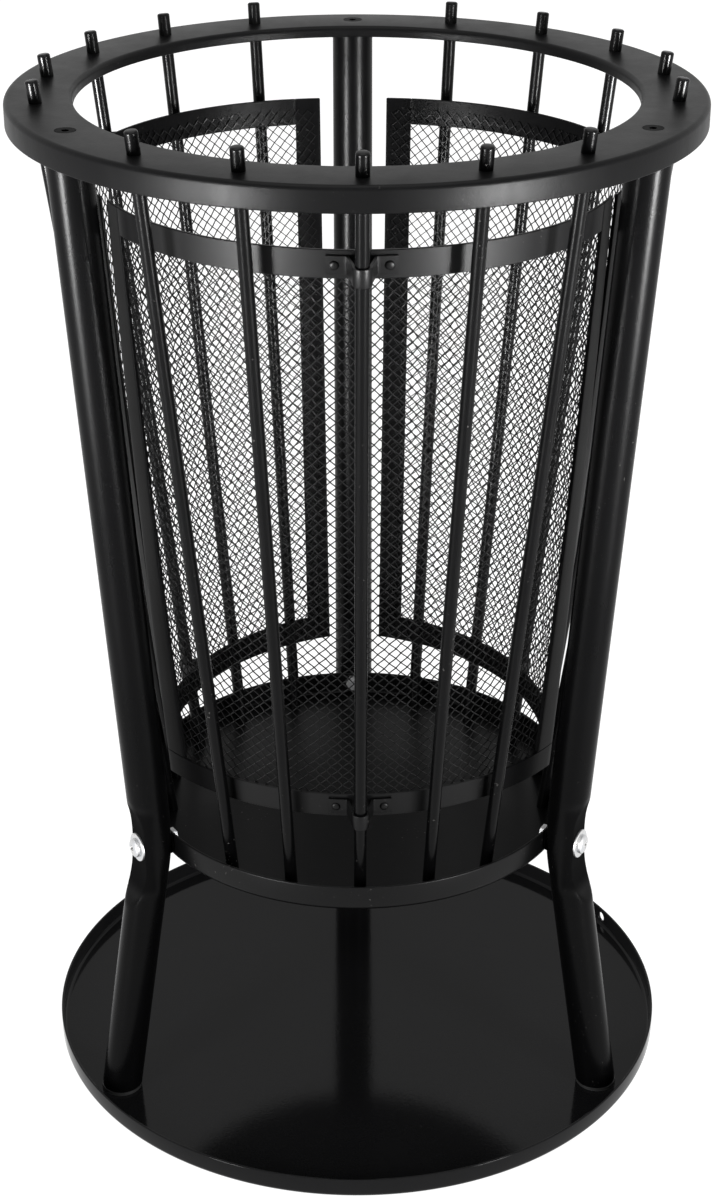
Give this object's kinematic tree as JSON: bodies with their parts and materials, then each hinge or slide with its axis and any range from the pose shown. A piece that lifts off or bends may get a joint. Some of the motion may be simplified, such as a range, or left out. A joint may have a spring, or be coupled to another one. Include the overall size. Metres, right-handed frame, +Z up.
{
  "type": "fire basket",
  "caption": "Free-standing round fire basket: pan on bent tube legs, leaning rods, rolled mesh screens, wide top ring and a loose ash tray under the feet.",
  "frame": {"origin": "on the ground under the middle of the basket: the underside of the ash tray", "axes": "+Z up, -Y to the front (the screen without a leg in front of it), +X to the right as seen from the front"},
  "size_m": [0.5339, 0.534, 0.8565],
  "materials": {
    "tray_black": "black stove enamel, satin gloss",
    "pan_black": "black stove enamel, gloss",
    "ring_black": "black stove enamel, satin gloss",
    "leg_black": "black powder coat, satin gloss",
    "rod_black": "black powder coat, satin gloss",
    "frame_black": "black powder coat, satin",
    "mesh_black": "black powder coat on woven wire",
    "strap_black": "black powder coat, satin",
    "screw_black": "black oxide, satin",
    "plug_steel": "plain steel",
    "foot_plastic": "black moulded plastic",
    "zinc": "bright zinc plate"
  },
  "bodies": {
    "ash_tray": {"ash_tray": "tray_black"},
    "basket": {"fire_pan": "pan_black", "top_ring": "ring_black", "leg_front_right": "leg_black", "leg_rear": "leg_black", "leg_front_left": "leg_black", "leg_top_plugs": "plug_steel", "foot_plugs": "foot_plastic", "ring_screws": "screw_black", "knee_bolts": "zinc", "knee_washers": "zinc", "knee_inner_washers": "screw_black", "knee_nuts": "zinc", "rod_01": "rod_black", "rod_02": "rod_black", "rod_03": "rod_black", "rod_04": "rod_black", "rod_05": "rod_black", "rod_06": "rod_black", "rod_07": "rod_black", "rod_08": "rod_black", "rod_09": "rod_black", "rod_10": "rod_black", "rod_11": "rod_black", "rod_12": "rod_black", "rod_13": "rod_black", "rod_14": "rod_black", "rod_15": "rod_black", "front_mesh": "mesh_black", "front_top_band": "frame_black", "front_bottom_band": "frame_black", "front_left_strip": "frame_black", "front_right_strip": "frame_black", "front_top_strap": "strap_black", "front_bottom_strap": "strap_black", "front_rivets": "strap_black", "right_mesh": "mesh_black", "right_top_band": "frame_black", "right_bottom_band": "frame_black", "right_front_strip": "frame_black", "right_rear_strip": "frame_black", "right_top_strap": "strap_black", "right_bottom_strap": "strap_black", "right_rivets": "strap_black", "left_mesh": "mesh_black", "left_top_band": "frame_black", "left_bottom_band": "frame_black", "left_rear_strip": "frame_black", "left_front_strip": "frame_black", "left_top_strap": "strap_black", "left_bottom_strap": "strap_black", "left_rivets": "strap_black"}
  },
  "joints": [
    {"name": "basket_lift", "type": "slide", "parent": "ash_tray", "child": "basket", "axis": [0, 0, 1], "range_m": [0, 0.12]}
  ]
}
